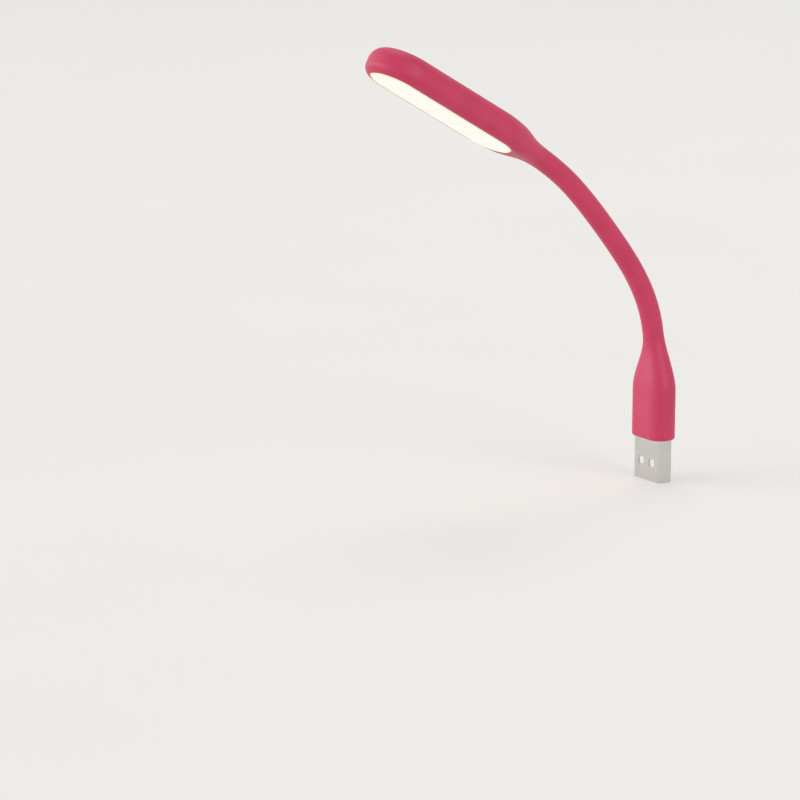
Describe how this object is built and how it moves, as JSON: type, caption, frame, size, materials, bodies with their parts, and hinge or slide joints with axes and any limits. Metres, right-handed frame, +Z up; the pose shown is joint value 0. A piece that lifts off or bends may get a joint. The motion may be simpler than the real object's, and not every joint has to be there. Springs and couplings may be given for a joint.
{
  "type": "flexible usb light",
  "caption": "Reading light that plugs into a usb socket: flat plug grip, round neck that stays where it is bent, and a long flat head with a milky lit window on its underside.",
  "frame": {"origin": "centre of the grip's foot face, where the plug's shell leaves the grip", "axes": "+Z up the grip, away from the plug; the plug points along -Z; Y is the wide way of the plug, the grip and the head; the neck leans over towards -X, and the window faces down and away from the viewer of +X"},
  "size_m": [0.0957, 0.0204, 0.1249],
  "materials": {
    "soft_skin": "satin",
    "plated_steel": "bright nickel plate",
    "plug_plastic": "satin",
    "contact_metal": "gold flash",
    "solder": "satin",
    "core_plastic": "matte",
    "wire_steel": "drawn",
    "red_insulation": "satin",
    "black_insulation": "satin",
    "copper": "bright",
    "tray_plastic": "matte, reflecting",
    "milky_plastic": "milky, lit from behind",
    "board": "white solder mask",
    "lamp_package": "phosphor under clear resin",
    "resistor_body": "matte"
  },
  "bodies": {
    "base": {"usb_shell": "plated_steel", "plug_insulator": "plug_plastic", "contact_vbus": "contact_metal", "contact_data_minus": "contact_metal", "contact_data_plus": "contact_metal", "contact_ground": "contact_metal", "plug_solder": "solder", "grip_core": "core_plastic", "grip_skin": "soft_skin", "support_wire": "wire_steel", "red_lead": "red_insulation", "red_strands": "copper", "black_lead": "black_insulation", "black_strands": "copper"},
    "link_1": {"neck_sleeve_1": "soft_skin"},
    "link_2": {"neck_sleeve_2": "soft_skin"},
    "link_3": {"neck_sleeve_3": "soft_skin"},
    "link_4": {"neck_sleeve_4": "soft_skin"},
    "link_5": {"neck_sleeve_5": "soft_skin"},
    "link_6": {"neck_sleeve_6": "soft_skin"},
    "link_7": {"neck_sleeve_7": "soft_skin"},
    "link_8": {"neck_sleeve_8": "soft_skin"},
    "head": {"head_skin": "soft_skin", "head_tray": "tray_plastic", "diffuser": "milky_plastic", "led_board": "board", "led_1": "lamp_package", "led_2": "lamp_package", "led_3": "lamp_package", "led_4": "lamp_package", "led_5": "lamp_package", "led_6": "lamp_package", "resistor_1": "resistor_body", "resistor_2": "resistor_body", "board_solder": "solder"}
  },
  "joints": [
    {"name": "bend_1_over", "type": "hinge", "parent": "base", "child": "link_1", "pos_m": [-0.00097, 0, 0.03094], "axis": [0, -1, 0], "range_deg": [-40, 24], "deforming": ["support_wire", "red_lead", "red_strands", "black_lead", "black_strands"]},
    {"name": "bend_2_aside", "type": "hinge", "parent": "link_1", "child": "link_2", "pos_m": [-0.00282, 0, 0.03769], "axis": [0.937, 0, 0.3494], "range_deg": [-32, 32], "deforming": ["support_wire", "red_lead", "red_strands", "black_lead", "black_strands"]},
    {"name": "bend_3_over", "type": "hinge", "parent": "link_2", "child": "link_3", "pos_m": [-0.00575, 0, 0.04403], "axis": [0, -1, 0], "range_deg": [-40, 24], "deforming": ["support_wire", "red_lead", "red_strands", "black_lead", "black_strands"]},
    {"name": "bend_4_aside", "type": "hinge", "parent": "link_3", "child": "link_4", "pos_m": [-0.00949, 0, 0.04995], "axis": [0.8157, 0, 0.5784], "range_deg": [-32, 32], "deforming": ["support_wire", "red_lead", "red_strands", "black_lead", "black_strands"]},
    {"name": "bend_5_over", "type": "hinge", "parent": "link_4", "child": "link_5", "pos_m": [-0.01367, 0, 0.05556], "axis": [0, -1, 0], "range_deg": [-40, 24], "deforming": ["support_wire", "red_lead", "red_strands", "black_lead", "black_strands"]},
    {"name": "bend_6_aside", "type": "hinge", "parent": "link_5", "child": "link_6", "pos_m": [-0.01806, 0, 0.06101], "axis": [0.7713, 0, 0.6364], "range_deg": [-32, 32], "deforming": ["support_wire", "red_lead", "red_strands", "black_lead", "black_strands"]},
    {"name": "bend_7_over", "type": "hinge", "parent": "link_6", "child": "link_7", "pos_m": [-0.0226, 0, 0.06634], "axis": [0, -1, 0], "range_deg": [-40, 24], "deforming": ["support_wire", "red_lead", "red_strands", "black_lead", "black_strands"]},
    {"name": "bend_8_aside", "type": "hinge", "parent": "link_7", "child": "link_8", "pos_m": [-0.02738, 0, 0.07146], "axis": [0.7116, 0, 0.7026], "range_deg": [-32, 32], "deforming": ["support_wire", "red_lead", "red_strands", "black_lead", "black_strands"]},
    {"name": "bend_9_over", "type": "hinge", "parent": "link_8", "child": "head", "pos_m": [-0.03256, 0, 0.07615], "axis": [0, -1, 0], "range_deg": [-40, 24], "deforming": ["support_wire", "red_lead", "red_strands", "black_lead", "black_strands"]}
  ]
}
